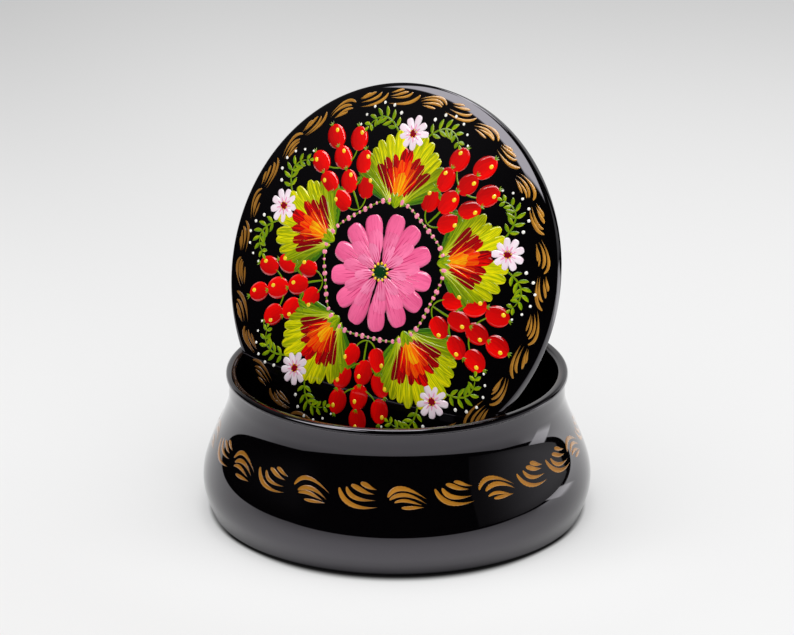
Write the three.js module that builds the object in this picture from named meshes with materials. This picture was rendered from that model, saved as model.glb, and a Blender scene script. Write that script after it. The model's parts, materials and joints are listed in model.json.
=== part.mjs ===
import * as THREE from 'three';

// Lacquered box of turned wood: an open bowl, and its domed lid, which stands wedged upright in the
// bowl's mouth. Millimetres, +Z up. The origin is the middle of the bowl's foot, and the lid's face
// looks toward -Y.

// Bowl: the radii of its outline, from the widest inward
const belly_radius = 75;
const foot_inset = 5;
const foot_roll = 2.3;
const foot_flare_degrees = 13;
const rim_inset = 9.4;
const rim_step = 0.4;
const rim_edge_height = 1.8;
const rim_round = 0.7;
const neck_inset = 0.9;
const rim_width = 3.4;
const lip_round = 0.8;

// Bowl: height, wall and floor
const bowl_height = 56;
const belly_height_share = 0.24;
const neck_height_share = 0.84;
const belly_wall = 4;
const floor_thickness = 7;
const floor_inset = 16;
const seat_depth = 6.5;

// Lid: edge, shoulder, dome, and the spigot that drops into the mouth when the box is shut
const lid_overhang = 7.1;
const edge_height = 3.2;
const edge_round = 0.7;
const shoulder_width = 5.3;
const shoulder_height = 2;
const dome_rise = 5.5;
const spigot_height = 5;
const spigot_clearance = 1;
const spigot_round = 0.6;
const spigot_rim_width = 4.2;
const dish_depth = 3.6;

// How the lid stands: its lean from upright, how far in front of the axis its edge meets the lip,
// how high on the lip's rounding it meets it, and the gap left there
const lean_degrees = 20.9;
const wedge_offset = 19.5;
const touch_degrees = 30;
const touch_gap = 0.3;

// Facets round the turning, and steps along a rounding, a short curve and a long curve
const turn_facets = 80;
const round_steps = 2;
const short_steps = 5;
const long_steps = 9;

// How far each end of a curve keeps its own direction, as shares of the curve's height
const lower_belly_pull_shares = [0.33, 0.5];
const upper_belly_pull_shares = [0.34, 0.3];
const neck_pull_shares = [0.41, 0.41];
const inner_belly_pull_shares = [0.34, 0.3];
const inner_floor_pull_share = 0.6;
const shoulder_pull_share = 0.5;

const rim_radius = belly_radius - rim_inset;
const neck_radius = rim_radius - neck_inset;
const mouth_radius = rim_radius - rim_width;
const lid_radius = rim_radius + lid_overhang;

// A point of a turned outline: distance from the axis, and height
function at(radius, height) {
  return new THREE.Vector2(radius, height);
}

// An arc about a centre, from one direction to another, in degrees above the level outward one
function rounding(centre, radius, from_degrees, to_degrees) {
  const start = THREE.MathUtils.degToRad(from_degrees);
  const end = THREE.MathUtils.degToRad(to_degrees);
  return new THREE.EllipseCurve(centre.x, centre.y, radius, radius, start, end).getPoints(round_steps);
}

// A smooth curve after its first point, which keeps to the two pull points at its ends
function swell(start, start_pull, end_pull, end, steps) {
  return new THREE.CubicBezierCurve(start, start_pull, end_pull, end).getPoints(steps).slice(1);
}

// A closed solid turned about +Z from an outline that starts and ends on the axis
function turn(name, outline, material) {
  const geometry = new THREE.LatheGeometry(outline, turn_facets);
  geometry.rotateX(Math.PI / 2);
  const mesh = new THREE.Mesh(geometry, material);
  mesh.name = name;
  return mesh;
}

// The outside of the bowl, from the foot's edge up to the rim's lower edge
function bowl_outside() {
  const flare = THREE.MathUtils.degToRad(foot_flare_degrees);
  const roll_centre = at(belly_radius - foot_inset, foot_roll);
  const base_radius = roll_centre.x + foot_roll * Math.cos(flare);
  const base_height = roll_centre.y - foot_roll * Math.sin(flare);
  const belly_height = bowl_height * belly_height_share;
  const neck_height = bowl_height * neck_height_share;
  const rim_base = bowl_height - rim_edge_height;
  const base_rise = belly_height - base_height;
  const belly_rise = neck_height - belly_height;
  const neck_rise = rim_base - neck_height;
  const [base_pull_share, below_pull] = lower_belly_pull_shares;
  const [above_pull, under_pull] = upper_belly_pull_shares;
  const [over_pull, rim_pull] = neck_pull_shares;
  const base_pull = base_rise * base_pull_share;
  return [
    ...rounding(roll_centre, foot_roll, -90, -foot_flare_degrees),
    ...swell(
      at(base_radius, base_height),
      at(base_radius + base_pull * Math.tan(flare), base_height + base_pull),
      at(belly_radius, belly_height - base_rise * below_pull),
      at(belly_radius, belly_height),
      short_steps,
    ),
    ...swell(
      at(belly_radius, belly_height),
      at(belly_radius, belly_height + belly_rise * above_pull),
      at(neck_radius, neck_height - belly_rise * under_pull),
      at(neck_radius, neck_height),
      long_steps,
    ),
    ...swell(
      at(neck_radius, neck_height),
      at(neck_radius, neck_height + neck_rise * over_pull),
      at(neck_radius, rim_base - neck_rise * rim_pull),
      at(rim_radius - rim_step, rim_base),
      short_steps,
    ),
  ];
}

// The rim: a narrow flat with a rounded edge outside and a rounded lip inside, and the straight
// seat below the lip that takes the lid's spigot
function bowl_rim() {
  const rim_base = bowl_height - rim_edge_height;
  const outer_centre = at(rim_radius - rim_round, bowl_height - rim_round);
  const lip_centre = at(mouth_radius + lip_round, bowl_height - lip_round);
  return [
    at(rim_radius, rim_base),
    ...rounding(outer_centre, rim_round, 0, 90),
    ...rounding(lip_centre, lip_round, 90, 180),
    at(mouth_radius, bowl_height - seat_depth),
  ];
}

// The inside of the bowl, from the seat down to the flat of the floor
function bowl_inside() {
  const belly_height = bowl_height * belly_height_share;
  const inner_radius = belly_radius - belly_wall;
  const floor_radius = inner_radius - floor_inset;
  const seat_end = bowl_height - seat_depth;
  const belly_drop = seat_end - belly_height;
  const floor_drop = belly_height - floor_thickness;
  const [top_pull, bottom_pull] = inner_belly_pull_shares;
  return [
    ...swell(
      at(mouth_radius, seat_end),
      at(mouth_radius, seat_end - belly_drop * top_pull),
      at(inner_radius, belly_height + belly_drop * bottom_pull),
      at(inner_radius, belly_height),
      long_steps,
    ),
    ...swell(
      at(inner_radius, belly_height),
      at(inner_radius, belly_height - floor_drop * inner_floor_pull_share),
      at(floor_radius + floor_inset * inner_floor_pull_share, floor_thickness),
      at(floor_radius, floor_thickness),
      short_steps,
    ),
  ];
}

function make_bowl(material) {
  const outline = [
    at(0, 0),
    ...bowl_outside(),
    ...bowl_rim(),
    ...bowl_inside(),
    at(0, floor_thickness),
  ];
  return turn('bowl', outline, material);
}

// The lid lies face up in its own frame, with the underside of its edge at height zero
function make_lid(material) {
  const spigot_radius = mouth_radius - spigot_clearance;
  const dish_radius = spigot_radius - spigot_rim_width;
  const spigot_corner = at(spigot_radius - spigot_round, spigot_round - spigot_height);
  const edge_corner = at(lid_radius - edge_round, edge_round);
  const shoulder_radius = lid_radius - shoulder_width;
  const shoulder_top = edge_height + shoulder_height;
  const crown_height = shoulder_top + dome_rise;
  const dome_pull = at(shoulder_radius / 2, crown_height);
  const dome_slope = dome_rise / dome_pull.x;
  const shoulder_pull = shoulder_width * shoulder_pull_share;
  const dish_height = dish_depth - spigot_height;
  const dish = new THREE.QuadraticBezierCurve(
    at(0, dish_height),
    at(dish_radius / 2, dish_height),
    at(dish_radius, -spigot_height),
  );
  const dome = new THREE.QuadraticBezierCurve(
    at(shoulder_radius, shoulder_top),
    dome_pull,
    at(0, crown_height),
  );
  const outline = [
    ...dish.getPoints(short_steps),
    ...rounding(spigot_corner, spigot_round, -90, 0),
    at(spigot_radius, 0),
    ...rounding(edge_corner, edge_round, -90, 0),
    at(lid_radius, edge_height),
    ...swell(
      at(lid_radius, edge_height),
      at(lid_radius, edge_height + shoulder_height * shoulder_pull_share),
      at(shoulder_radius + shoulder_pull, shoulder_top - shoulder_pull * dome_slope),
      at(shoulder_radius, shoulder_top),
      short_steps,
    ),
    ...dome.getPoints(long_steps).slice(1),
  ];
  return turn('lid', outline, material);
}

// Stands the lid in the mouth. Its edge, at the top of the straight part of its side, meets the lip
// at two points, so half the lip's chord there and the lid's radius give the height of its middle.
function stand_lid(lid) {
  const lean = THREE.MathUtils.degToRad(lean_degrees);
  const touch = THREE.MathUtils.degToRad(touch_degrees);
  const touch_radius = mouth_radius + lip_round * (1 - Math.cos(touch)) - touch_gap / Math.cos(touch);
  const touch_height = bowl_height - lip_round * (1 - Math.sin(touch));
  const half_chord = Math.sqrt(touch_radius ** 2 - wedge_offset ** 2);
  const drop = Math.sqrt(lid_radius ** 2 - half_chord ** 2);
  const stand = new THREE.Group();
  stand.rotation.x = Math.PI / 2 - lean;
  stand.position.y = drop * Math.sin(lean) + edge_height * Math.cos(lean) - wedge_offset;
  stand.position.z = touch_height + drop * Math.cos(lean) - edge_height * Math.sin(lean);
  stand.add(lid);
  return stand;
}

const black_lacquer = { color: 0x0b0a0d, roughness: 0.12, metalness: 0 };

const jewelry_box = new THREE.Group();
jewelry_box.add(make_bowl(new THREE.MeshStandardMaterial(black_lacquer)));
jewelry_box.add(stand_lid(make_lid(new THREE.MeshStandardMaterial(black_lacquer))));

export default jewelry_box;
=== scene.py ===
import json
import bpy
import numpy as np
from mathutils import Matrix, Vector


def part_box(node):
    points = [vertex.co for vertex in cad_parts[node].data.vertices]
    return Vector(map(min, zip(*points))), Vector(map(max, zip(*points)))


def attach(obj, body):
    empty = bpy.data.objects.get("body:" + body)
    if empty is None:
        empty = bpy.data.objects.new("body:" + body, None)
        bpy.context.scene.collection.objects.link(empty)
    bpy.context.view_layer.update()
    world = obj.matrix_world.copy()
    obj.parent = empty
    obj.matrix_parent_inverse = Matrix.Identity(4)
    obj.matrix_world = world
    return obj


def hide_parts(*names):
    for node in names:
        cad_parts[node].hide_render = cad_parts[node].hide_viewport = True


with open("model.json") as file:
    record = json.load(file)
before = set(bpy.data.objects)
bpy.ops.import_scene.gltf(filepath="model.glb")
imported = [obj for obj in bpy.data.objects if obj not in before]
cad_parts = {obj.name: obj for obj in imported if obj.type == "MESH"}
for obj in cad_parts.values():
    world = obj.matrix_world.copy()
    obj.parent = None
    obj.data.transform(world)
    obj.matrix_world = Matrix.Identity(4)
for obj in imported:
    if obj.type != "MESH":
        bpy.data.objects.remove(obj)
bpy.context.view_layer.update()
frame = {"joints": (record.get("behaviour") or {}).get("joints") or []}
mm = 0.001


# Camera
# A long lens a metre and a half away, a little above the box and to the right of the lid's face.
camera_azimuth = np.radians(34.0)
camera_elevation = np.radians(20.35)
camera_distance = 1.5
camera_aim = Vector((0, 0, 76.3 * mm))
camera_lens = 178.15
toward_camera = Vector((
    np.sin(camera_azimuth) * np.cos(camera_elevation),
    -np.cos(camera_azimuth) * np.cos(camera_elevation),
    np.sin(camera_elevation),
))

camera = bpy.data.objects.new("camera", bpy.data.cameras.new("camera"))
bpy.context.scene.collection.objects.link(camera)
bpy.context.scene.camera = camera
bpy.context.scene.view_settings.view_transform = "Standard"
camera.data.sensor_width = 36
camera.data.lens = camera_lens
camera.data.clip_end = 20
camera.location = camera_aim + camera_distance * toward_camera
camera.rotation_euler = toward_camera.to_track_quat("Z", "Y").to_euler()


# Studio
# A pale table top under soft overhead light, with a pale backdrop behind it and a dim room in front.
# Gloss shows that set with its two softboxes; every other ray meets a plain pale one.
table_size = 8.0
table_drop = 0.05 * mm
table_near, table_far, table_front = 0.80, 0.42, 1.07
table_from, table_to = 0.05, 1.05
table_glow, table_light = 0.35, 1.12
contact_ahead, contact_aside = 76 * mm, 45 * mm
contact_from, contact_side, contact_front = 71.2 * mm, 73.6 * mm, 76.6 * mm
shade_from, shade_side, shade_front = 71.7 * mm, 73.2 * mm, 75.8 * mm
contact_level = 0.02
# How deep the painted contact shadow sinks: lighter at the sides than at the front.
shadow_low_middle, shadow_low_full, shadow_low_none, shadow_low_level = -10 * mm, 8 * mm, 26 * mm, 0.3
bright_ahead, bright_aside, bright_from, bright_to = 90 * mm, 20 * mm, 80 * mm, 150 * mm
gain_near, gain_far, gain_slant = 0.03, 0.12, 0.27
gain_from, gain_to, gain_left, gain_right = 0.10, 0.62, -88 * mm, 112 * mm
board_front, board_left, board_right = 267 * mm, 470 * mm, 640 * mm
board_edge = 6 * mm
board_shine, board_shine_near, board_near, board_fall = 0.70, 1.18, 80 * mm, 1.5
board_left_shine, board_right_shine, board_slope = 1.02, 1.6, 600 * mm
board_far_shine, board_far_from, board_far_to = 3.0, 180 * mm, 300 * mm
board_ahead, board_aside = 90 * mm, 10 * mm
behind_from, behind_to = np.radians((131.0, 135.0))
window_from, window_to, window_blur = np.radians((95.0, 108.0, 2.0))
room_level = 0.003
wall_level, wall_top = 0.09, 0.65
wall_from, wall_to = np.radians((-68.0, -45.0))
backdrop_level, backdrop_high_level = 0.75, 0.05
backdrop_half_width, backdrop_blur = np.radians((47.0, 2.0))
backdrop_low, backdrop_top = 0.30, 0.60
panel_from, panel_full, panel_to = np.radians((48.0, 102.0, 120.0))
panel_low, panel_high = -0.15, 0.42
panel_level, panel_start = 0.50, 0.10
panel_foot, panel_foot_from, panel_foot_to = 0.45, -0.1, 0.12
panel_blur, panel_soft = np.radians(1.5), 0.05
fill_front, fill_back, fill_reach = 1.08, 0.72, 0.8
softbox_size, softbox_height = 0.7, 1.3
softbox_power = 4.6
ceiling_rise = 0.01

# The softboxes that gloss shows, on a ceiling at height 1 that only rays with more rise than
# ceiling_rise reach: from and to, to the right and away, their shine and blur
ceiling_boxes = [
    ((-1.15, -0.42), (-0.90, 0.02), 7.5, 0.08),
    ((-0.35, 0.12), (0.03, 0.42), 10.0, 0.03),
]


def add(tree, kind, inputs=None, **settings):
    """Adds a node. inputs gives each named or numbered socket a value or another node's output."""
    made = tree.nodes.new(kind)
    for field, value in settings.items():
        setattr(made, field, value)
    for socket, value in (inputs or {}).items():
        if isinstance(value, bpy.types.NodeSocket):
            tree.links.new(value, made.inputs[socket])
        else:
            made.inputs[socket].default_value = value
    return made


def math(tree, operation, first, second=0.0, third=0.0):
    """The output of a math node: operation on up to three numbers."""
    return add(tree, "ShaderNodeMath", {0: first, 1: second, 2: third}, operation=operation).outputs[0]


def times(tree, product, *factors):
    """The output of math nodes that multiply a product by each factor."""
    for factor in factors:
        product = math(tree, "MULTIPLY", product, factor)
    return product


def ramp(tree, value, start, end, low=0.0, high=1.0):
    """The output of a smooth step from low at value start to high at value end."""
    sockets = {"Value": value, "From Min": start, "From Max": end, "To Min": low, "To Max": high}
    return add(tree, "ShaderNodeMapRange", sockets, interpolation_type="SMOOTHSTEP").outputs["Result"]


def band(tree, value, start, end, blur):
    """1 where value lies from start to end, falling to 0 over blur on either side."""
    rise = ramp(tree, value, start - blur, start)
    return times(tree, rise, ramp(tree, value, end, end + blur, 1.0, 0.0))


def between(tree, share, first, second):
    """The output of a mix node: first where share is 0 and second where it is 1."""
    return add(tree, "ShaderNodeMix", {0: share, 2: first, 3: second}).outputs[0]


def compass(tree, right, away):
    """The angle of a place or direction about +Z, from straight toward the camera to the right."""
    return math(tree, "ARCTAN2", right, times(tree, away, -1.0))


def gloss_rays(tree):
    """1 for rays that a glossy or clear surface sends out."""
    rays = add(tree, "ShaderNodeLightPath").outputs
    return math(tree, "MAXIMUM", rays["Is Glossy Ray"], rays["Is Transmission Ray"])


def camera_axes(tree, place):
    """Turns a place or direction about +Z so that X is to the camera's right and Y away from it."""
    turned = add(
        tree, "ShaderNodeVectorRotate", {"Vector": place, "Angle": -camera_azimuth}, rotation_type="Z_AXIS"
    )
    return add(tree, "ShaderNodeSeparateXYZ", {0: turned.outputs[0]}).outputs


def paint_room(world):
    """The world: plain fill light, pale to the camera. Glossy rays meet the set's backdrop, a grey
    panel at the right, a dim wall at the left and the softboxes, by compass angle and height."""
    world.use_nodes = True
    tree = world.node_tree
    tree.nodes.clear()
    right, away, up = camera_axes(tree, add(tree, "ShaderNodeTexCoord").outputs["Generated"])
    angle = compass(tree, right, away)
    turn = math(tree, "ABSOLUTE", angle)
    backdrop_start = np.pi - backdrop_half_width
    behind = ramp(tree, turn, backdrop_start - backdrop_blur, backdrop_start + backdrop_blur)
    backdrop = ramp(tree, up, backdrop_low, backdrop_top, backdrop_level, backdrop_high_level)
    panel = times(
        tree,
        band(tree, angle, panel_from, panel_to, panel_blur),
        band(tree, up, panel_low, panel_high, panel_soft),
        ramp(tree, angle, panel_from, panel_full, panel_start, 1.0),
        ramp(tree, up, panel_foot_from, panel_foot_to, panel_foot, 1.0),
    )
    shine = math(tree, "MULTIPLY_ADD", behind, backdrop, room_level)
    shine = math(tree, "MULTIPLY_ADD", panel, panel_level, shine)
    wall = ramp(tree, angle, wall_from, wall_to, wall_level, 0.0)
    shine = math(tree, "MULTIPLY_ADD", wall, ramp(tree, up, 0.0, wall_top), shine)
    height = math(tree, "MAXIMUM", up, ceiling_rise)
    ceiling = [math(tree, "DIVIDE", side, height) for side in (right, away)]
    for box_right, box_away, level, blur in ceiling_boxes:
        across = band(tree, ceiling[0], *box_right, blur)
        lamp = times(tree, across, band(tree, ceiling[1], *box_away, blur))
        shine = math(tree, "MULTIPLY_ADD", lamp, level, shine)
    fill = ramp(tree, away, -fill_reach, fill_reach, fill_front, fill_back)
    camera_rays = add(tree, "ShaderNodeLightPath").outputs["Is Camera Ray"]
    level = between(tree, camera_rays, between(tree, gloss_rays(tree), fill, shine), table_far)
    background = add(tree, "ShaderNodeBackground", {"Color": (1, 1, 1, 1), "Strength": level})
    out = add(tree, "ShaderNodeOutputWorld")
    tree.links.new(background.outputs[0], out.inputs["Surface"])


def table_material():
    """Pale matt paint, with painted light and shade: it darkens a little with distance and is a little
    brighter far off to the right and just in front of the box, as painted light, and darkens under the
    foot's edge as a painted contact shadow. It glows a little, as painted light, so that the shadow on it
    stays light. Glossy rays meet a board of it, brighter near the box as painted light and darker under
    the foot's edge as painted shade, that ends in the dark room, with a bright wedge at the right and a
    bright stretch behind."""
    material = bpy.data.materials.new("table_top")
    material.use_nodes = True
    tree = material.node_tree
    tree.nodes.clear()
    place = add(tree, "ShaderNodeTexCoord").outputs["Object"]
    distance = add(tree, "ShaderNodeVectorMath", {0: place}, operation="LENGTH").outputs["Value"]
    right, away, _ = camera_axes(tree, place)
    # Painted light: the table darkens with distance away, and is brightened far off to the right.
    seen = ramp(tree, away, table_from, table_to, table_near, table_far)
    gain = ramp(tree, away, gain_from, gain_to, gain_near, gain_far)
    slanted = math(tree, "MULTIPLY_ADD", away, gain_slant, right)
    gain = times(tree, gain, ramp(tree, slanted, gain_left, gain_right))
    seen = math(tree, "MULTIPLY_ADD", seen, gain, seen)
    # Painted contact shadow: the table darkens under the foot's edge, deepest at the front and lighter at
    # the sides.
    contact_to = ramp(tree, away, -contact_ahead, -contact_aside, contact_front, contact_side)
    shadow_low = math(tree, "ABSOLUTE", math(tree, "SUBTRACT", away, shadow_low_middle))
    shadow_low = ramp(tree, shadow_low, shadow_low_full, shadow_low_none, shadow_low_level, contact_level)
    seen = times(tree, seen, ramp(tree, distance, contact_from, contact_to, shadow_low, 1.0))
    # Painted light: the table just in front of the box is brighter near it.
    front = ramp(tree, away, -bright_ahead, -bright_aside, 1.0, 0.0)
    close = ramp(tree, distance, bright_from, bright_to, table_front - 1, 0.0)
    seen = math(tree, "MULTIPLY_ADD", seen, times(tree, front, close), seen)
    board = ramp(tree, away, -board_front - board_edge, -board_front)
    board = times(tree, board, band(tree, right, -board_left, board_right, board_edge))
    angle = compass(tree, right, away)
    board = math(tree, "MAXIMUM", board, ramp(tree, math(tree, "ABSOLUTE", angle), behind_from, behind_to))
    window = band(tree, angle, window_from, window_to, window_blur)
    board = math(tree, "MAXIMUM", board, window)
    aside = ramp(tree, right, 0.0, board_slope, board_left_shine, board_right_shine)
    beyond = times(tree, window, ramp(tree, right, board_far_from, board_far_to))
    aside = between(tree, beyond, aside, board_far_shine)
    # Painted light: in gloss the board is brighter near the box.
    nearness = math(tree, "DIVIDE", board_near, math(tree, "MAXIMUM", distance, board_near))
    nearness = math(tree, "POWER", nearness, board_fall)
    ahead = math(tree, "MULTIPLY_ADD", nearness, board_shine_near, board_shine)
    front = ramp(tree, away, -board_ahead, -board_aside, 1.0, 0.0)
    shine = between(tree, front, aside, ahead)
    # Painted shade: glossy rays see the board darker under the foot's edge.
    shade_to = ramp(tree, away, -contact_ahead, -contact_aside, shade_front, shade_side)
    shine = times(tree, shine, ramp(tree, distance, shade_from, shade_to, shadow_low, 1.0))
    shine = math(tree, "MULTIPLY_ADD", board, shine, room_level)
    glossy = gloss_rays(tree)
    # Painted light: the table glows a little, so that the shadow on it stays light.
    glow = between(tree, glossy, table_glow, 0.0)
    level = between(tree, glossy, seen, shine)
    level = times(tree, level, math(tree, "SUBTRACT", 1.0, glow))
    colour = add(tree, "ShaderNodeCombineColor", {0: level, 1: level, 2: level}).outputs[0]
    matt = add(tree, "ShaderNodeBsdfDiffuse", {"Color": colour})
    lit = times(tree, times(tree, seen, glow), table_light)
    light = add(tree, "ShaderNodeEmission", {"Strength": lit})
    both = add(tree, "ShaderNodeAddShader", {0: matt.outputs[0], 1: light.outputs[0]})
    out = add(tree, "ShaderNodeOutputMaterial")
    tree.links.new(both.outputs[0], out.inputs["Surface"])
    return material


def make_piece(name, points, *parts):
    """A smooth mesh object at the origin. Each of parts is an array of faces by their points."""
    mesh = bpy.data.meshes.new(name)
    faces = [face for part in parts for face in part.reshape(-1, part.shape[-1]).tolist()]
    mesh.from_pydata(points.reshape(-1, 3).tolist(), [], faces)
    mesh.polygons.foreach_set("use_smooth", np.ones(len(faces), bool))
    piece = bpy.data.objects.new(name, mesh)
    bpy.context.scene.collection.objects.link(piece)
    return piece


room = bpy.data.worlds.new("room")
bpy.context.scene.world = room
paint_room(room)
corners = np.array([(-1, -1, 0), (1, -1, 0), (1, 1, 0), (-1, 1, 0)]) * table_size / 2
table_top = make_piece("table_top", corners - [0, 0, table_drop], np.arange(4)[None])
table_top.data.materials.append(table_material())

softbox = bpy.data.objects.new("softbox", bpy.data.lights.new("softbox", "AREA"))
softbox.data.shape = "SQUARE"
softbox.data.size = softbox_size
softbox.data.energy = softbox_power
softbox.location = (0, 0, softbox_height)
softbox.visible_glossy = False
softbox.visible_camera = False
bpy.context.scene.collection.objects.link(softbox)


# Bowl
# Turned from one block of limewood and lacquered black inside and out: a flat foot with a rolled
# edge, a bellied side, a narrow neck, a low rim and a straight seat inside it for the lid.
bowl_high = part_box("bowl")[1]
belly_radius = bowl_high.x
bowl_height = bowl_high.z
foot_radius = belly_radius - 5 * mm
foot_roll = 2.3 * mm
foot_flare = np.radians(13.0)
belly_height = 0.24 * bowl_height
neck_height = 0.84 * bowl_height
rim_radius = belly_radius - 9.4 * mm
rim_step = 0.4 * mm
rim_height = 1.8 * mm
rim_round = 1.4 * mm
rim_corner = 0.15 * mm
rim_slope = 0.15 * mm
neck_radius = rim_radius - 0.9 * mm
mouth_radius = rim_radius - 4.1 * mm
lip_round = 1.5 * mm
seat_depth = 6.5 * mm
seat_corner = 0.4 * mm
wall = 4 * mm
floor_height = 7 * mm
floor_radius = belly_radius - wall - 16 * mm
bowl_turns = 320


def arc(centre, radius, start, end, steps):
    """Points of an arc: centre + radius * (cos a, sin a), a in degrees from start to end."""
    angle = np.radians(np.linspace(start, end, steps))
    return np.stack([centre[0] + radius * np.cos(angle), centre[1] + radius * np.sin(angle)], 1)


def curve_shares(t):
    """The share of each of a cubic Bezier curve's four points in its place at t, and in its heading."""
    left = 1 - t
    place = np.stack([left ** 3, 3 * left ** 2 * t, 3 * left * t ** 2, t ** 3])
    heading = np.stack([-left ** 2, left ** 2 - 2 * left * t, 2 * left * t - t ** 2, t ** 2])
    return place, heading


def swell(*points, steps):
    """Points of the cubic Bezier curve of four points, without its first."""
    place, _ = curve_shares(np.linspace(0, 1, steps)[1:])
    return place.T @ np.array(points)


def bowl_side():
    """The side's outline, radius and height, from the flare over the foot up to the rim's underside."""
    base = (foot_radius + foot_roll * np.cos(foot_flare), foot_roll * (1 - np.sin(foot_flare)))
    low_rise = belly_height - base[1]
    high_rise = neck_height - belly_height
    rim_base = bowl_height - rim_height
    neck_rise = rim_base - neck_height
    base_pull = 0.33 * low_rise
    return np.concatenate([
        [base],
        swell(
            base,
            (base[0] + base_pull * np.tan(foot_flare), base[1] + base_pull),
            (belly_radius, belly_height - 0.5 * low_rise),
            (belly_radius, belly_height), steps=24,
        ),
        swell(
            (belly_radius, belly_height),
            (belly_radius, belly_height + 0.34 * high_rise),
            (neck_radius, neck_height - 0.3 * high_rise),
            (neck_radius, neck_height), steps=56,
        ),
        swell(
            (neck_radius, neck_height),
            (neck_radius, neck_height + 0.41 * neck_rise),
            (neck_radius, rim_base - 0.41 * neck_rise),
            (rim_radius - rim_step, rim_base), steps=14,
        ),
    ])


def bowl_outline():
    """The whole outline, from the middle of the foot round the outside, over the rim and in to the
    middle of the floor."""
    foot_centre = (foot_radius, foot_roll)
    rim_base = bowl_height - rim_height
    corner = (rim_radius - rim_corner, rim_base + rim_corner)
    edge = (rim_radius - rim_round, bowl_height - rim_round)
    lip = (mouth_radius + lip_round, bowl_height - rim_slope - lip_round)
    seat = bowl_height - seat_depth
    inner = belly_radius - wall
    drop = seat - belly_height
    floor_drop = belly_height - floor_height
    middle = np.linspace(0, 1, 12)[1:-1, None]
    return np.concatenate([
        middle * [foot_radius, 0],
        arc(foot_centre, foot_roll, -90, -np.degrees(foot_flare), 12)[:-1],
        bowl_side(),
        arc(corner, rim_corner, -60, 0, 4),
        arc(edge, rim_round, 0, 90, 9),
        arc(lip, lip_round, 90, 180, 9),
        arc((mouth_radius + seat_corner, seat + seat_corner), seat_corner, 180, 230, 4),
        swell(
            (mouth_radius + 0.3 * seat_corner, seat),
            (mouth_radius + 0.3 * seat_corner, seat - 0.34 * drop),
            (inner, belly_height + 0.3 * drop),
            (inner, belly_height), steps=30,
        ),
        swell(
            (inner, belly_height),
            (inner, belly_height - 0.6 * floor_drop),
            (floor_radius + 0.6 * (inner - floor_radius), floor_height),
            (floor_radius, floor_height), steps=14,
        ),
        middle[::-1] * [floor_radius, 0] + [0, floor_height],
    ])


def turn(name, outline, base, top, turns):
    """A closed turned surface: outline points (r, h) to (r sin a, -r cos a, h), with a pole at height
    base under its first point and one at height top at its last."""
    angle = np.linspace(0, 2 * np.pi, turns, endpoint=False)
    radius, height = outline[:, 0], outline[:, 1]
    points = np.stack([
        np.outer(radius, np.sin(angle)),
        np.outer(radius, -np.cos(angle)),
        np.outer(height, np.ones(turns)),
    ], -1).reshape(-1, 3)
    rings = len(outline)
    ring = np.arange(rings - 1)[:, None] * turns
    step = np.arange(turns)[None]
    after = (step + 1) % turns
    sides = np.stack([ring + step, ring + after, ring + turns + after, ring + turns + step], -1)
    first, last = rings * turns, rings * turns + 1
    end = (rings - 1) * turns
    step, after = step[0], after[0]
    foot = np.stack([np.full(turns, first), after, step], -1)
    crown = np.stack([np.full(turns, last), end + step, end + after], -1)
    points = np.concatenate([points, [(0, 0, base), (0, 0, top)]])
    return make_piece(name, points, sides, foot, crown)


bowl_shell = turn("bowl_shell", bowl_outline(), 0, floor_height, bowl_turns)


# Lacquer
# Many thin coats, flatted and polished: near black, very smooth, with a few dust nibs, faint
# polishing swirls, and brown in patches along the inner side of the bowl's lip.
lacquer_black = (0.0009, 0.0007, 0.0010, 1)
lip_brown = (0.032, 0.017, 0.011, 1)
lacquer_tint = (0.950, 0.905, 1.0, 1)
lacquer_gloss, lacquer_index = 0.03, 1.58
coat_relief, coat_strength, relief_share = 0.04 * mm, 0.5, 0.5
brown_drop, brown_width, brown_fade = 1.0 * mm, 1.6 * mm, 0.6 * mm
brown_scale, brown_patches = 34.0, (0.36, 0.56)
swirl_scale, peel_scale, nib_scale = 55.0, 90.0, 170.0
swirl_gloss = (0.35, 0.75, 0.7, 1.6)
nib_size, nib_height, nib_chance, peel_height = 0.045, 0.35, 0.035, 0.12


def noise(tree, place, scale, detail):
    """The output of a noise node."""
    sockets = {"Vector": place, "Scale": scale, "Detail": detail}
    return add(tree, "ShaderNodeTexNoise", sockets).outputs[0]


def group(name, inputs, outputs):
    """An empty shader node group. inputs and outputs name its sockets. Place is a vector, and the
    others are numbers."""
    tree = bpy.data.node_groups.new(name, "ShaderNodeTree")
    for labels, side in ((inputs, "INPUT"), (outputs, "OUTPUT")):
        for label in labels.split():
            kind = "NodeSocketVector" if label == "Place" else "NodeSocketFloat"
            tree.interface.new_socket(label, in_out=side, socket_type=kind)
    return tree, add(tree, "NodeGroupInput").outputs, add(tree, "NodeGroupOutput")


def polish_group():
    """Polished varnish: the gloss of its swirls, and the height of its orange peel and dust nibs."""
    tree, given, out = group("polish", "Place Gloss", "Roughness Height")
    specks = add(tree, "ShaderNodeTexVoronoi", {"Vector": given["Place"], "Scale": nib_scale})
    nib = ramp(tree, specks.outputs["Distance"], 0.0, nib_size, 1.0, 0.0)
    chance = add(tree, "ShaderNodeSeparateColor", {0: specks.outputs["Color"]}).outputs[0]
    nib = times(tree, nib, math(tree, "GREATER_THAN", chance, 1 - nib_chance))
    swirl = ramp(tree, noise(tree, given["Place"], swirl_scale, 3.0), *swirl_gloss)
    rough = times(tree, given["Gloss"], swirl)
    peel = times(tree, noise(tree, given["Place"], peel_scale, 1.0), peel_height)
    height = math(tree, "MULTIPLY_ADD", nib, nib_height, peel)
    tree.links.new(rough, out.inputs["Roughness"])
    tree.links.new(height, out.inputs["Height"])
    return tree


def blend(tree, share, first, second):
    """The output of a colour mix node: first where share is 0 and second where it is 1."""
    return add(tree, "ShaderNodeMix", {0: share, 6: first, 7: second}, data_type="RGBA").outputs[2]


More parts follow.
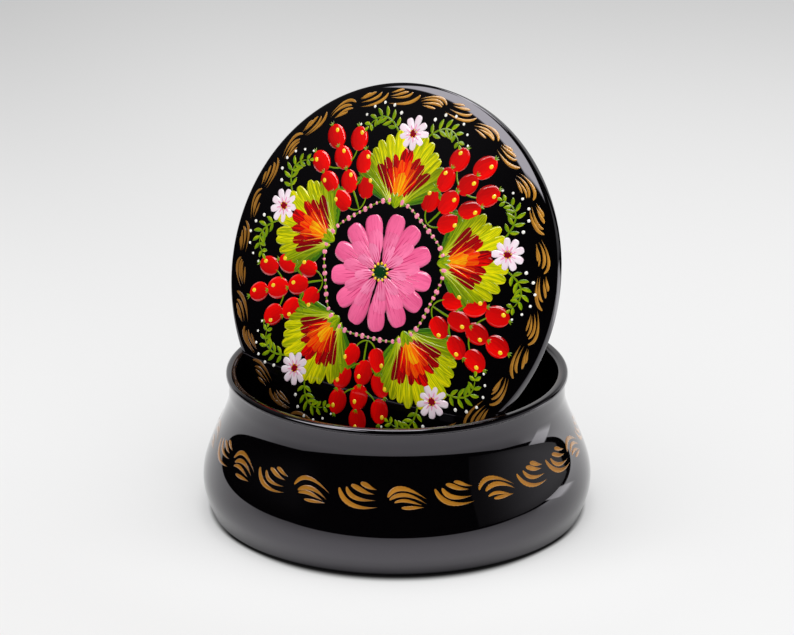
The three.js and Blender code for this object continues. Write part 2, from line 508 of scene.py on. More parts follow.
def use_group(tree, made, inputs):
    """Places a node group in a material and gives its inputs."""
    return add(tree, "ShaderNodeGroup", inputs, node_tree=made).outputs


polish = polish_group()


def start_material(name):
    """A material of one Principled shader. Returns it, its tree, the shader's sockets and the object's
    own place."""
    material = bpy.data.materials.new(name)
    material.use_nodes = True
    tree = material.node_tree
    shader = tree.nodes["Principled BSDF"].inputs
    shader["IOR"].default_value = lacquer_index
    return material, tree, shader, add(tree, "ShaderNodeTexCoord").outputs["Object"]


def varnish(tree, shader, place, relief=0.0):
    """Polished varnish on a shader, over paint of the given relief."""
    coat = use_group(tree, polish, {"Place": place, "Gloss": lacquer_gloss})
    height = math(tree, "MULTIPLY_ADD", relief, relief_share, coat["Height"])
    sockets = {"Strength": coat_strength, "Distance": coat_relief, "Height": height}
    bump = add(tree, "ShaderNodeBump", sockets)
    tree.links.new(coat["Roughness"], shader["Roughness"])
    tree.links.new(bump.outputs[0], shader["Normal"])


def lacquer(name):
    """Plain black lacquer."""
    material, tree, shader, place = start_material(name)
    shader["Specular Tint"].default_value = lacquer_tint
    shader["Base Color"].default_value = lacquer_black
    varnish(tree, shader, place)
    return material, tree, shader, place


def bowl_lacquer():
    """Black lacquer, with brown in patches along the inner side of the lip."""
    material, tree, shader, place = lacquer("bowl_lacquer")
    height = add(tree, "ShaderNodeSeparateXYZ", {0: place}).outputs[2]
    level = add(tree, "ShaderNodeVectorMath", {0: place, 1: (1, 1, 0)}, operation="MULTIPLY").outputs[0]
    radius = add(tree, "ShaderNodeVectorMath", {0: level}, operation="LENGTH").outputs["Value"]
    high = ramp(tree, height, bowl_height - brown_drop, bowl_height - brown_drop + brown_fade)
    inside = ramp(tree, radius, mouth_radius + brown_width, mouth_radius + brown_width + brown_fade, 1.0, 0.0)
    patches = ramp(tree, noise(tree, place, brown_scale, 4.0), *brown_patches)
    browned = times(tree, high, inside, patches)
    tree.links.new(blend(tree, browned, lacquer_black, lip_brown), shader["Base Color"])
    return material


bowl_shell.data.materials.append(bowl_lacquer())
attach(bowl_shell, "bowl")
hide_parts("bowl")


# Bowl garland
# A border of comma strokes round the belly in ochre gold. A loaded round brush is pressed down at the
# left of each stroke and drawn off to a tail at the right. The varnish goes over them.
garland_groups = 25
garland_pair = 8
garland_height = 31 * mm
garland_start = camera_azimuth - np.radians(56.8)
garland_wander = np.radians(1.3)
garland_lift, overlap_lift, stroke_sink = 0.025 * mm, 0.006 * mm, 0.02 * mm
place_spread, length_spread, width_spread = 0.25 * mm, 0.05, 0.08
stroke_rings = 15
comma = (0.38, 1.15, 2.0)
ochre, ochre_dark = (0.48, 0.208, 0.024), (0.32, 0.125, 0.012)
# The ochre of painted shade, where the garland turns away from the light.
ochre_shaded = (0.165, 0.068, 0.013)
bowl_lit_side = camera_azimuth + np.radians(30.0)
tone_depth, tail_start, dry_hairs = (0.92, 1.04), 0.55, (0.42, 0.6)
bristle_scale, hair_scale, bristle_pull, paint_edge = 2.2, 6.5, 4.0, 0.55
hairs_across, hairs_along = 3.0, 1.3
painter = np.random.default_rng(11)

# Where each stroke is set down, its two pulls, where it is lifted off, and its width, in millimetres
# to the right of and above the middle of its group
cradle = [
    ((-7.3, 3.0), (-5.8, -2.4), (-0.6, -5.0), (8.0, -3.4), 2.4),
    ((-3.9, 3.1), (-3.0, -0.2), (0.4, -1.8), (7.4, -1.1), 2.1),
    ((-2.3, 3.8), (0.2, 3.4), (2.0, 1.3), (6.8, 1.0), 2.1),
    ((0.9, 4.7), (2.8, 4.8), (4.0, 3.2), (7.4, 2.6), 1.9),
]
arch = [
    ((-7.2, 0.4), (-5.4, 4.8), (-0.6, 5.8), (7.8, -0.5), 2.3),
    ((-5.2, -0.6), (-2.4, 2.1), (2.0, 2.0), (7.4, -2.2), 2.1),
    ((-4.5, -2.2), (-0.9, -0.5), (1.5, -2.0), (5.6, -3.3), 1.7),
    ((-1.9, -4.0), (0.9, -4.2), (3.0, -3.9), (6.6, -4.1), 1.6),
]


def outline_distance(outline):
    """The distance along an outline at each of its points."""
    return np.concatenate([[0], np.cumsum(np.hypot(*np.diff(outline, axis=0).T))])


def on_turning(outline, distance, angle, lift):
    """Points on a turned surface: the outline's point at a distance along it, moved out by lift along
    the outline's normal, and turned to (r sin a, -r cos a, h)."""
    length = outline_distance(outline)
    radius, height = (np.interp(distance, length, column) for column in outline.T)
    slope = np.diff(outline, axis=0) / np.diff(length)[:, None]
    outward, rise = (np.interp(distance, (length[1:] + length[:-1]) / 2, column) for column in slope.T)
    radius, height = radius + lift * rise, height - lift * outward
    return np.stack([radius * np.sin(angle), -radius * np.cos(angle), height], -1)


def on_bowl(x, y, lift):
    """Points on the bowl's side, x round it to the right from the front and y up it from the middle
    of the garland."""
    outline = bowl_side()
    middle = np.interp(garland_height, outline[:, 1], outline_distance(outline))
    radius = np.interp(garland_height, outline[:, 1], outline[:, 0])
    return on_turning(outline, middle + y, x / radius, lift)


def stroke(points, width, lift, shape=comma, paints=(ochre, ochre_dark), plumpness=4.0):
    """One stroke of the brush: the four points of its Bezier curve, its width and height, its heel,
    toe and belly, and the two paints on the brush."""
    return [*np.ravel(points), width, lift, *shape, plumpness, painter.random(), *paints[0], *paints[1]]


def brush(name, strokes, place, rings=stroke_rings):
    """A piece of brush strokes laid on a surface. t runs along a stroke from 0 to 1 and v across it
    from -1 to 1. Its half width is t ** heel * (1 - t ** belly) ** toe, scaled so that the peak is
    width / 2, and its height is lift * (1 - v ** plumpness), with its edges and underside sunk."""
    table = np.array(strokes)
    route = table[:, :8].reshape(-1, 4, 2)
    width, lift, heel, toe, belly, plumpness, tone = (table[:, i, None] for i in range(8, 15))
    count = len(table)
    t = (1 - np.cos(np.pi * np.arange(1, rings + 1) / (rings + 1))) / 2
    centre, ahead = (np.einsum("kt,skd->std", shares, route) for shares in curve_shares(t))
    ahead /= np.linalg.norm(ahead, axis=2, keepdims=True)
    aside = np.stack([-ahead[..., 1], ahead[..., 0]], -1)
    peak = heel / (heel + toe * belly)
    full = peak ** (heel / belly) * (1 - peak) ** toe
    half = width / 2 * t ** heel * (1 - t ** belly) ** toe / full
    across = np.array([-1.0, -0.6, 0.0, 0.6, 1.0, 0.0])
    under = np.array([0, 0, 0, 0, 0, 1])
    flat = centre[:, :, None] + aside[:, :, None] * (half[..., None] * across)[..., None]
    rounded = np.abs(across) ** plumpness[..., None]
    swelling = lift[..., None] * ((4 * t * (1 - t)) ** 0.3)[None, :, None]
    height = np.where(under, -2 * stroke_sink, swelling * (1 - rounded) - stroke_sink * rounded)
    sides = len(across)
    body = place(flat[..., 0], flat[..., 1], height).reshape(count, -1, 3)
    ends = place(route[:, ::3, 0], route[:, ::3, 1], -stroke_sink)
    points = np.concatenate([body, ends], 1)
    first = np.arange(count)[:, None, None] * points.shape[1]
    ring, side = np.arange(rings)[:, None], np.arange(sides)
    here, beside = first + ring * sides + side, first + ring * sides + (side + 1) % sides
    quads = np.stack([here[:, :-1], here[:, 1:], beside[:, 1:], beside[:, :-1]], -1)
    heels = np.stack(np.broadcast_arrays(first[:, 0] + rings * sides, here[:, 0], beside[:, 0]), -1)
    toes = np.stack(np.broadcast_arrays(first[:, 0] + rings * sides + 1, beside[:, -1], here[:, -1]), -1)
    piece = make_piece(name, points, quads, heels, toes)
    mesh = piece.data
    face_sides = np.tile(np.arange(sides), len(mesh.polygons) // sides)
    mesh.polygons.foreach_set("use_smooth", face_sides < sides - 2)
    along = np.concatenate([np.repeat(t, sides), [0, 1]])
    beside = np.concatenate([np.tile(across, rings), [0, 0]])
    marks = {
        "along": np.tile(along, count),
        "across": np.tile(beside, count),
        "tone": np.repeat(tone[:, 0], points.shape[1]),
    }
    for label, values in marks.items():
        mesh.attributes.new(label, "FLOAT", "POINT").data.foreach_set("value", values)
    for label, start in (("first_paint", 15), ("second_paint", 18)):
        colour = np.concatenate([table[:, start:start + 3], np.ones((count, 1))], 1)
        colour = np.repeat(colour, points.shape[1], 0)
        mesh.attributes.new(label, "FLOAT_COLOR", "POINT").data.foreach_set("color", colour.ravel())
    return piece


def brushwork_group():
    """How paint lies in a stroke: the share of the second paint, the bare streaks where the brush
    ran dry, and the height of its bristle marks, from the place along and across the stroke. Tone,
    times any two large numbers, gives each stroke marks of its own."""
    tree, given, out = group("brushwork", "Along Across Tone Streaks Dryness", "Second Bare Height")
    drawn = add(tree, "ShaderNodeCombineXYZ", {
        0: math(tree, "MULTIPLY_ADD", given["Across"], hairs_across, times(tree, given["Tone"], 57.0)),
        1: times(tree, given["Along"], hairs_along),
        2: times(tree, given["Tone"], 31.0),
    }).outputs[0]
    bristles = noise(tree, drawn, bristle_scale, 3.0)
    hairs = noise(tree, drawn, hair_scale, 2.0)
    pull = times(tree, math(tree, "SUBTRACT", bristles, 0.5), given["Streaks"], bristle_pull)
    blended = math(tree, "MULTIPLY_ADD", given["Across"], 0.5, pull)
    tree.links.new(ramp(tree, blended, -paint_edge, paint_edge), out.inputs["Second"])
    tail = ramp(tree, given["Along"], tail_start, 1.0)
    dry = times(tree, tail, given["Dryness"], ramp(tree, hairs, *dry_hairs))
    tree.links.new(dry, out.inputs["Bare"])
    tree.links.new(hairs, out.inputs["Height"])
    return tree


brushwork = brushwork_group()


def paint(name, streaks, dryness):
    """Brushed paint under varnish, in the two paints that each stroke's brush was loaded with."""
    material, tree, shader, place = start_material(name)
    along, across, tone = (
        add(tree, "ShaderNodeAttribute", attribute_name=label).outputs["Fac"]
        for label in ("along", "across", "tone")
    )
    first, second = (
        add(tree, "ShaderNodeAttribute", attribute_name=label).outputs["Color"]
        for label in ("first_paint", "second_paint")
    )
    laid = use_group(tree, brushwork, {
        "Along": along, "Across": across, "Tone": tone, "Streaks": streaks, "Dryness": dryness,
    })
    colour = blend(tree, laid["Second"], first, second)
    depth = ramp(tree, tone, 0.0, 1.0, *tone_depth)
    colour = add(tree, "ShaderNodeVectorMath", {0: colour, "Scale": depth}, operation="SCALE").outputs[0]
    tree.links.new(blend(tree, laid["Bare"], colour, lacquer_black), shader["Base Color"])
    varnish(tree, shader, place, laid["Height"])
    return material


def dress(piece, body, material):
    """Gives a painted piece its material and its body."""
    piece.data.materials.append(material)
    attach(piece, body)


def mix(first, second, share):
    """A colour between two."""
    return tuple(np.array(first) * (1 - share) + np.array(second) * share)


def garland_group(shape, scale, thickness):
    """The strokes of one group in its own place, each a little off the pattern: scale in length and
    height, and thickness in width."""
    made = []
    for number, (*points, width) in enumerate(shape):
        stretch = 1 + length_spread * painter.standard_normal()
        shift = place_spread * painter.standard_normal(2)
        points = np.array(points) * mm * scale
        points = points.mean(0) + (points - points.mean(0)) * stretch + shift
        width *= mm * thickness * (1 + width_spread * painter.standard_normal())
        made.append((points, width, garland_lift + number * overlap_lift))
    return made


bowl_strokes = []
garland_radius = np.interp(garland_height, *bowl_side().T[::-1])
for number in range(garland_groups):
    shape = arch if (number < garland_pair) == (number % 2 == 0) else cradle
    wander = garland_wander * (1 - np.cos(4 * np.pi * number / garland_groups))
    middle = garland_start + 2 * np.pi * number / garland_groups + wander
    # Painted light and shade: groups far from the lit side are painted darker, towards the shaded ochre.
    shaded_share = 0.5 - 0.5 * np.cos(middle - bowl_lit_side)
    paints = mix(ochre, ochre_shaded, shaded_share), mix(ochre_dark, ochre_shaded, shaded_share)
    for points, width, lift in garland_group(shape, (1, 1), 1):
        bowl_strokes.append(stroke(points + [middle * garland_radius, 0], width, lift, paints=paints))
bowl_garland = brush("bowl_garland", bowl_strokes, on_bowl)
dress(bowl_garland, "bowl", paint("bowl_garland_ochre", 0.9, 0.7))


# Lid
# Turned from one block: a flat edge, a rounded shoulder, a low dome, and under it a spigot that drops
# into the mouth. It stands wedged in the mouth with its painted face forward, leaning back.
lid_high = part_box("lid")[1]
lid_up = Vector(frame["joints"][0]["axis"]).normalized()
lid_side = Vector((1, 0, 0))
lid_face = lid_side.cross(lid_up)
lid_radius = lid_high.x
edge_height = 3.2 * mm
edge_round = 0.7 * mm
shoulder_width = 5.3 * mm
shoulder_height = 2 * mm
dome_rise = 5.5 * mm
spigot_height = 5 * mm
spigot_radius = rim_radius - 4.4 * mm
spigot_round = 0.6 * mm
dish_radius = spigot_radius - 4.2 * mm
dish_depth = 3.6 * mm
shoulder_radius = lid_radius - shoulder_width
shoulder_top = edge_height + shoulder_height
crown_height = shoulder_top + dome_rise
lid_turns = 320


def lid_outline():
    """The outline from the middle of the dish under the lid, round its edge, to the crown."""
    slope = dome_rise / (shoulder_radius / 2)
    pull = shoulder_width / 2
    t = np.linspace(0, 1, 40)[:, None]
    dish_middle = dish_depth - spigot_height
    dish = (1 - t) ** 2 * [0, dish_middle] + 2 * (1 - t) * t * [dish_radius / 2, dish_middle]
    dish = dish + t ** 2 * [dish_radius, -spigot_height]
    dome = (1 - t) ** 2 * [shoulder_radius, shoulder_top]
    dome = dome + 2 * (1 - t) * t * [shoulder_radius / 2, crown_height] + t ** 2 * [0, crown_height]
    return np.concatenate([
        dish[1:],
        arc((spigot_radius - spigot_round, spigot_round - spigot_height), spigot_round, -90, 0, 6),
        [(spigot_radius, 0)],
        arc((lid_radius - edge_round, edge_round), edge_round, -90, 0, 8),
        swell(
            (lid_radius, edge_height),
            (lid_radius, edge_height + shoulder_height / 2),
            (shoulder_radius + pull, shoulder_top - pull * slope),
            (shoulder_radius, shoulder_top), steps=24,
        ),
        dome[1:-1],
    ])


lid_back, lid_top = (lid_outline()[:, ::-1] @ [lid_face.yz, lid_up.yz]).max(0)
lid_middle = Vector((0, lid_high.y - lid_back, lid_high.z - lid_top))
lid_stand = Matrix((lid_side, lid_up, lid_face)).transposed().to_4x4()
lid_stand.translation = lid_middle
lid_shell = turn("lid_shell", lid_outline(), dish_depth - spigot_height, crown_height, lid_turns)
lid_shell.data.transform(lid_stand)
lid_shell.data.materials.append(lacquer("lid_lacquer")[0])
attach(lid_shell, "lid")
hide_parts("lid")


# Lid garland
# The same border smaller round the lid, where the dome turns down into the shoulder. Its strokes are
# set down at their clockwise end and drawn off the other way, and painted brightest at the upper right
# and darker towards the left, as painted light and shade.
lid_groups = 31
lid_pair = 9
lid_garland_radius = 67.5 * mm
lid_garland_start = np.radians(4.5)
lid_garland_scale = (0.83, 0.55)
lid_garland_thickness = 0.68
lid_lit_side = np.radians(65.0)
ochre_lit = (0.69, 0.335, 0.048)


def on_lid(x, y, lift):
    """Points on the lid's face, x across it and y up it from its middle, with the distance from the
    middle measured along the dome and shoulder."""
    outline = lid_outline()
    outline = outline[np.argmax(outline[:, 0]):]
    whole = outline_distance(outline)[-1] + outline[-1, 0]
    points = on_turning(outline, whole - np.hypot(x, y), np.arctan2(x, -y), lift)
    return points @ np.array(lid_stand.to_3x3()).T + np.array(lid_middle)


def polar(radius, angle):
    """Points of the lid's face at a radius and an angle, which turns from its right side upward."""
    return np.stack(np.broadcast_arrays(radius * np.cos(angle), radius * np.sin(angle)), -1)


lid_strokes = []
for number in range(lid_groups):
    shape = cradle if (number < lid_pair) == (number % 2 == 0) else arch
    middle = lid_garland_start + 2 * np.pi * number / lid_groups
    # Painted light and shade: strokes are painted brightest at the lit upper right and darker the further
    # they turn from it.
    shaded_share = 0.5 - 0.5 * np.cos(middle - lid_lit_side)
    paints = mix(ochre_lit, ochre_shaded, shaded_share), mix(ochre_dark, ochre_shaded, shaded_share)
    for points, width, lift in garland_group(shape, lid_garland_scale, lid_garland_thickness):
        bent = polar(lid_garland_radius + points[:, 1], middle + points[:, 0] / lid_garland_radius)
        lid_strokes.append(stroke(bent, width, lift, paints=paints))
lid_garland = brush("lid_garland", lid_strokes, on_lid)
dress(lid_garland, "lid", paint("lid_garland_ochre", 0.9, 0.7))


# Leaf fans
# On five lines out from the middle of the lid, a fan of broad leaf strokes lies on either side of each
# carnation. The brush carries yellow on one edge and green on the other.
spokes = 5
spoke_angles = np.radians(90 + 360 / spokes * np.arange(spokes))
between_angles = spoke_angles + np.pi / spokes
leaf_yellow, leaf_lime = (0.92, 0.82, 0.003), (0.42, 0.50, 0.003)
leaf_olive, leaf_green = (0.22, 0.28, 0.002), (0.090, 0.230, 0.004)
leaf_deep, leaf_pale = (0.022, 0.095, 0.006), (0.66, 0.76, 0.16)
leaf_count, vein_count = 8, 5
leaf_lift, vein_width = 0.025 * mm, 0.75
blade, vein = (0.9, 0.42, 1.0), (0.4, 0.9, 1.0)


def outward(angle, points, side=1):
    """Points given in millimetres across and along a line out from the lid's middle, as points of
    its face. A side of -1 mirrors them."""
    across, along = np.array(points, float).T * mm
    across = side * across
    ahead, right = (np.cos(angle), np.sin(angle)), (np.sin(angle), -np.cos(angle))
    return along[:, None] * ahead + across[:, None] * right


def toward(heading):
    """The direction across and along at a heading in degrees from straight out."""
    return np.stack([np.sin(np.radians(heading)), np.cos(np.radians(heading))], -1)


def sweep(base, lean, length, curl):
    """The four points of a stroke that leaves base and bends by curl degrees as it goes. lean is its
    middle heading in degrees from straight out."""
    headings = toward([lean - curl, lean - 0.2 * curl, lean + 0.6 * curl])
    steps = length * np.array([0.33, 0.34, 0.33])[:, None] * headings
    return np.concatenate([[base], base + np.cumsum(steps, 0)])


def fan(angle, side, count, base, leans, lengths, widths, curl, lift, paints):
    """Strokes that spread from a base: each value runs from its first to its last over the fan, and
    paints gives the two paints at each share of the way."""
    made = []
    for number in range(count):
        share = number / max(count - 1, 1)
        lean, length, width = (low + (high - low) * share for low, high in (leans, lengths, widths))
        points = sweep(base, lean + painter.normal(0, 1.0), length + painter.normal(0, 0.4), curl)
        height = lift + (count - number) * overlap_lift
        made.append(stroke(outward(angle, points, side), width * mm, height, blade, paints(share)))
    return made


def leaf_paints(share):
    """Yellow and lime at the fan's top, through olive to deep green at its foot."""
    if share < 0.5:
        return mix(leaf_yellow, leaf_lime, share), mix(leaf_lime, leaf_olive, 2 * share)
    return mix(leaf_lime, leaf_green, 2 * share - 1), mix(leaf_olive, leaf_deep, 2 * share - 1)


leaf_strokes = []
for angle in spoke_angles:
    for side in (-1, 1):
        leaf_strokes += fan(
            angle, side, leaf_count, (2.4, 25.4), (11, 69), (29.5, 18.5), (6.6, 5.2), 16,
            leaf_lift, leaf_paints,
        )
        for number in range(vein_count):
            share = number / (vein_count - 1)
            points = sweep((2.6, 25.6), 16 + 40 * share, 23 - 7 * share, 14)
            leaf_strokes.append(stroke(
                outward(angle, points, side), vein_width * mm,
                leaf_lift + (leaf_count + 2) * overlap_lift, vein,
                (mix(leaf_pale, leaf_lime, share), mix(leaf_yellow, leaf_olive, share)),
            ))
lid_leaves = brush("lid_leaves", leaf_strokes, on_lid)
dress(lid_leaves, "lid", paint("leaf_strokes", 1.2, 0.3))


# Carnations
# Between each pair of leaf fans stands a carnation: a ragged fan of dark red strokes, an orange one
# and a yellow one over it, each finely veined, in a green cup.
deep_red, bright_red = (0.22, 0.002, 0.004), (0.88, 0.004, 0.002)
orange, golden = (0.95, 0.13, 0.002), (0.95, 0.55, 0.004)
carnation_lift = 0.08 * mm
streak_width, cup_width, cup_length = 0.6, 3.0, 6.4
carnation_rows = [
    (4, (5, 44), (21.0, 17.5), (6.0, 5.6), 10, (bright_red, deep_red), (deep_red, deep_red)),
    (3, (5, 29), (17.0, 14.0), (4.8, 4.6), 6, (orange, bright_red), (bright_red, deep_red)),
    (2, (3, 13), (12.5, 10.5), (3.6, 3.4), 3, (golden, orange), (orange, orange)),
]

carnation_strokes = []
cup_strokes = []
for angle in spoke_angles:
    for row, (count, leans, lengths, widths, curl, first, second) in enumerate(carnation_rows):
        lift = carnation_lift + 6 * row * overlap_lift
        for side in (-1, 1):
            carnation_strokes += fan(
                angle, side, count, (0.5, 27), leans, lengths, widths, curl, lift,
                lambda share, first=first, second=second: (mix(*first, share), mix(*second, share)),
            )
    for side in (-1, 1):
        for lean, length in ((37, 12), (23, 14)):
            carnation_strokes.append(stroke(
                outward(angle, sweep((0.5, 28), lean, length, 8), side), streak_width * mm,
                carnation_lift + 20 * overlap_lift, vein, (golden, orange),
            ))
    for side, lean in ((-1, 24), (1, 24), (1, 0)):
        points = sweep((0, 24.6), lean, cup_length, 8)
        cup_strokes.append(stroke(
            outward(angle, points, side), cup_width * mm, carnation_lift + 24 * overlap_lift,
            (0.7, 0.8, 1.0), (leaf_lime, leaf_green),
        ))
lid_carnations = brush("lid_carnations", carnation_strokes, on_lid)
dress(lid_carnations, "lid", paint("carnation_strokes", 1.0, 0.3))


# Rosehips
# Between the carnations a stem carries nine rosehips. Each is a fat dab of red, darker along one
# side, with a yellow light and a small green crown at its tip.
hip_red, hip_dark = (0.92, 0.003, 0.002), (0.30, 0.002, 0.003)
hip_length, hip_width, hip_lift = 10.0, 9.4, 0.03 * mm
hip_rows = [(6.2, 33.4, 28), (0, 38.6, 0), (8.6, 42.4, 22), (0, 48.2, 0), (9.4, 52.0, 15), (0, 57.8, 0)]
light_size, light_place = 1.9, 2.5
light_yellow = (0.93, 0.62, 0.02)
light_lift = 0.18 * mm
stem_width, stalk_width, crown_width, crown_length, crown_spread = 1.1, 0.8, 0.75, 1.9, 38
stalk_paints = leaf_olive, leaf_green
line = (0.25, 0.45, 1.0)
round_dab = (0.5, 0.5, 1.0)


def dab(centre, length, heading=0.0):
    """The four points of a short dab in millimetres, with its middle at centre."""
    return np.array(centre) + np.linspace(-1, 1, 4)[:, None] * (length / 2 * toward(heading))


def dot(angle, place, size, lift, colour, side=1):
    """A round dot of thick paint, size millimetres across."""
    return stroke(
        outward(angle, dab(place, size), side), size * mm, lift, round_dab, (colour, colour), 2.0,
    )


hip_strokes, stem_strokes, light_dots = [], [], []
for angle in between_angles:
    stem_strokes.append(stroke(
        outward(angle, [(0, 26), (0.8, 34), (-0.8, 44), (0, 54)]), stem_width * mm, leaf_lift, line,
        stalk_paints,
    ))
    for across, along, heading in hip_rows:
        for side in (-1, 1) if across else (1,):
            place = np.array([across, along]) + painter.normal(0, 0.25, 2)
            turned = heading + painter.normal(0, 5)
            size = 1 + painter.normal(0, 0.025)
            tip = place + hip_length / 2 * toward(turned)
            if across:
                points = [(0, along - 7), (across * 0.35, along - 6.6), (across * 0.7, along - 5.5), place]
                stem_strokes.append(stroke(
                    outward(angle, points, side), stalk_width * mm, leaf_lift, line, stalk_paints,
                ))
            for lean in (-crown_spread, 0, crown_spread):
                points = sweep(tip - 0.2, turned + lean, crown_length, 8)
                stem_strokes.append(stroke(
                    outward(angle, points, side), crown_width * mm,
                    hip_lift + 4 * overlap_lift, vein, stalk_paints,
                ))
            shade = mix(hip_red, hip_dark, 0.45 * painter.random() ** 2)
            hip_strokes.append(stroke(
                outward(angle, dab(place, hip_length * size, turned), side), hip_width * size * mm,
                hip_lift + 3 * painter.random() * overlap_lift, (0.46, 0.50, 1.0),
                (shade, mix(shade, hip_dark, 0.5 + 0.45 * painter.random())), 5.0,
            ))
            spot = place + light_place * toward(turned + 30)
            light_dots.append(dot(angle, spot, light_size, light_lift, light_yellow, side))
lid_hips = brush("lid_hips", hip_strokes, on_lid)
dress(lid_hips, "lid", paint("hip_dabs", 0.16, 0.0))


# Ferns
# A curved fern frond of paired strokes, with white dots beyond its tips, fills the edge on either
# side of each aster. The stems of the rosehips and the carnations' cups are in the same green.
frond = np.array([(4.0, 50.0), (9.5, 58.5), (16.5, 61.5), (20.5, 53.0)])
frond_pairs, frond_spread = 6, 52
frond_width, frond_leaf_width, frond_tip_width, frond_tip_length = 1.0, 1.9, 1.7, 3.4
small_dot_lift = 0.14 * mm
frond_leaf = (0.75, 0.8, 1.0)
dot_white = (0.90, 0.88, 0.82)


def along_curve(points, t):
    """The place on a Bezier curve at t, and its heading there in degrees from straight out."""
    place, ahead = (shares @ points for shares in curve_shares(t))
    return place, np.degrees(np.arctan2(*ahead))


fern_strokes = []
small_dots = []
for angle in spoke_angles:
    for side in (-1, 1):
        fern_strokes.append(stroke(
            outward(angle, frond, side), frond_width * mm, leaf_lift, line, (leaf_green, leaf_olive),
        ))
        for pair in range(frond_pairs):
            t = 0.24 + 0.72 * pair / (frond_pairs - 1)
            place, heading = along_curve(frond, t)
            length = 4.9 - 2.2 * abs(t - 0.45) / 0.55
            for turn_by in (-frond_spread, frond_spread):
                points = sweep(place, heading + turn_by + painter.normal(0, 4), length, -0.35 * turn_by)
                fern_strokes.append(stroke(
                    outward(angle, points, side), frond_leaf_width * mm, leaf_lift + overlap_lift,
                    frond_leaf, (mix(leaf_olive, leaf_lime, painter.random()), leaf_green),
                ))
            spot = place + (length + 1.5) * toward(heading - frond_spread)
            small_dots.append(dot(angle, spot, 1.5 - 0.1 * pair, small_dot_lift, dot_white, side))
        place, heading = along_curve(frond, 1.0)
        fern_strokes.append(stroke(
            outward(angle, sweep(place, heading, frond_tip_length, 14), side), frond_tip_width * mm,
            leaf_lift + overlap_lift, frond_leaf, (leaf_lime, leaf_green),
        ))
lid_ferns = brush("lid_ferns", fern_strokes + stem_strokes + cup_strokes, on_lid, 9)
dress(lid_ferns, "lid", paint("fern_strokes", 0.8, 0.2))


# Asters
# At the edge beyond each carnation a small aster of white petals, flushed pink at their roots, with
# a dark red heart.
aster_place, aster_radius, aster_petals = 53.8, 6.6, 9
aster_width, flush_width, aster_heart, aster_dot = 3.3, 1.1, 3.6, 0.7
aster_white, aster_flush = (0.90, 0.80, 0.86), (0.86, 0.36, 0.55)
heart_red = (0.24, 0.002, 0.010)
aster_dot_lift = 0.24 * mm
petal = (0.7, 0.32, 1.0)

aster_strokes = []
for angle in spoke_angles:
    turn_by = painter.normal(0, 8)
    middle = np.array([0, aster_place])
    for number in range(aster_petals):
        ray = toward(turn_by + 360 * number / aster_petals)
        reach = aster_radius + painter.normal(0, 0.2)
        points = middle + np.linspace(1.0, reach, 4)[:, None] * ray
        aster_strokes.append(stroke(
            outward(angle, points), aster_width * mm, leaf_lift + (8 + number % 2) * overlap_lift,
            petal, (aster_white, mix(aster_white, aster_flush, 0.25)),
        ))
        points = middle + np.linspace(1.0, 0.62 * reach, 4)[:, None] * ray
        aster_strokes.append(stroke(
            outward(angle, points), flush_width * mm, leaf_lift + 11 * overlap_lift, vein,
            (aster_flush, aster_flush),
        ))
    aster_strokes.append(dot(angle, middle, aster_heart, light_lift, heart_red))
    for number in range(6):
        spot = middle + 1.5 * toward(60 * number)
        small_dots.append(dot(angle, spot, aster_dot, aster_dot_lift, light_yellow))
lid_asters = brush("lid_asters", aster_strokes, on_lid, 9)
dress(lid_asters, "lid", paint("aster_strokes", 0.5, 0.1))


# Dahlia
# The middle of the lid holds one large pink dahlia: three rings of petals, each a broad stroke with
# deep pink lines from its root, round a dark green heart with yellow dots.
dahlia_pink, dahlia_pale = (1.0, 0.165, 0.370), (1.0, 0.31, 0.52)
dahlia_deep = (0.66, 0.035, 0.170)
dahlia_lift = 0.08 * mm
heart_green = (0.004, 0.040, 0.008)
heart_size, heart_lift, dahlia_line_width = 6.4, 0.26 * mm, 0.55

# Each ring: its petals, where they start and end, their width, and how pale they are
dahlia_rings = [
    (13, 8.0, 22.5, 8.6, 0.0),
    (11, 5.5, 17.0, 7.4, 0.35),
    (9, 3.0, 11.6, 5.9, 0.8),
]

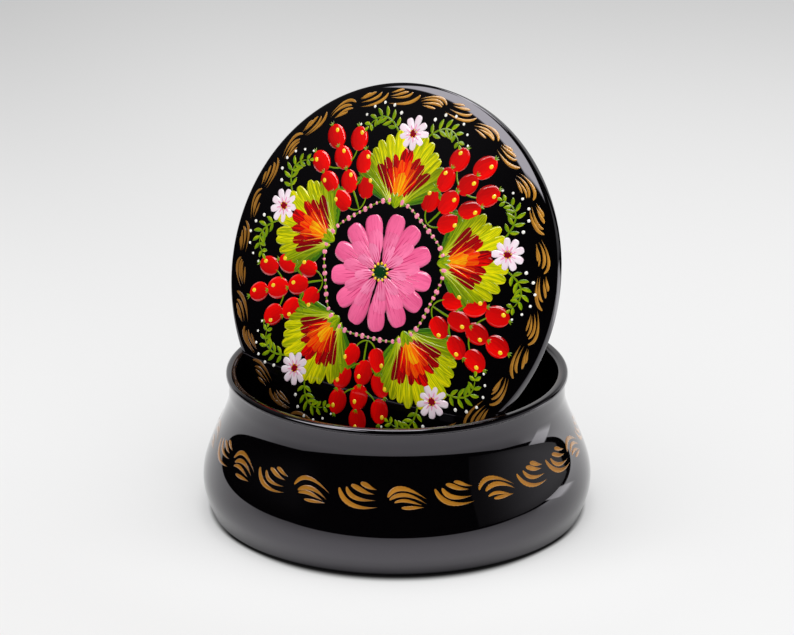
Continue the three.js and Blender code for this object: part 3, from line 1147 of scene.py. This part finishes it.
dahlia_strokes = []
for ring, (count, inner, outer, width, pale) in enumerate(dahlia_rings):
    lift = dahlia_lift + 5 * ring * overlap_lift
    pink = mix(dahlia_pink, dahlia_pale, pale)
    for number in range(count):
        angle = 2 * np.pi * (number + 0.5 * (ring % 2)) / count + painter.normal(0, 0.02)
        reach = outer + painter.normal(0, 0.3)
        bend = painter.normal(0, 0.4)
        route = np.linspace((0, inner), (0, reach), 4) + np.array([0, bend, bend, 0])[:, None] * [1, 0]
        dahlia_strokes.append(stroke(
            outward(angle, route), width * mm, lift + (number % 2) * overlap_lift, petal,
            (pink, mix(pink, dahlia_deep, 0.30 + 0.2 * painter.random())),
        ))
        for across, share in ((-0.2, 0.66), (0, 0.8), (0.2, 0.66)):
            start, end = 0.5 * across * width, across * width
            route = np.linspace((start, inner), (end, inner + share * (reach - inner)), 4)
            dahlia_strokes.append(stroke(
                outward(angle, route), dahlia_line_width * mm, lift + 3 * overlap_lift, vein,
                (dahlia_deep, dahlia_deep),
            ))
dahlia_strokes.append(dot(0, (0, 0), heart_size, heart_lift, heart_green))
lid_dahlia = brush("lid_dahlia", dahlia_strokes, on_lid)
dress(lid_dahlia, "lid", paint("dahlia_strokes", 0.45, 0.1))


# Dots
# Last, with the end of the brush handle: yellow dots round the dahlia's heart, a scalloped string of
# pink beads on a green line round the flower, lights on the rosehips, and dots by ferns and asters.
bead_pink = (0.93, 0.27, 0.40)
bead_count, bead_radius, bead_scallop = 60, 26.4, 1.2
bead_size, bead_growth, bead_lift = 1.35, 0.45, 0.2 * mm
heart_dots, heart_dot_size, heart_dot_lift = 12, 1.25, 0.36 * mm
heart_mark_size, heart_mark_lift = 0.7, 0.34 * mm
string_width = 0.7

bead_strokes = []
for number in range(bead_count):
    angle = 2 * np.pi * (number + np.linspace(-0.15, 1.15, 4)) / bead_count
    bead_strokes.append(stroke(
        polar(bead_radius * mm + bead_scallop * mm * np.cos(spokes * (angle - spoke_angles[0])), angle),
        string_width * mm, small_dot_lift, round_dab, stalk_paints,
    ))
for number in range(heart_dots):
    angle = 2 * np.pi * number / heart_dots
    small_dots.append(dot(angle, (0, heart_size / 2), heart_dot_size, heart_dot_lift, light_yellow))
    if number % 2:
        spot = (0, 0.24 * heart_size)
        small_dots.append(dot(angle, spot, heart_mark_size, heart_mark_lift, leaf_olive))
for number in range(bead_count):
    angle = 2 * np.pi * number / bead_count
    radius = bead_radius + bead_scallop * np.cos(spokes * (angle - spoke_angles[0]))
    size = bead_size + bead_growth * (number % 3)
    small_dots.append(dot(angle, (0, radius), size, bead_lift, bead_pink))
lid_string = brush("lid_string", bead_strokes, on_lid, 7)
dress(lid_string, "lid", paint("string_strokes", 0.3, 0.0))
lid_dots = brush("lid_dots", small_dots + light_dots, on_lid, 7)
dress(lid_dots, "lid", paint("dots", 0.2, 0.0))
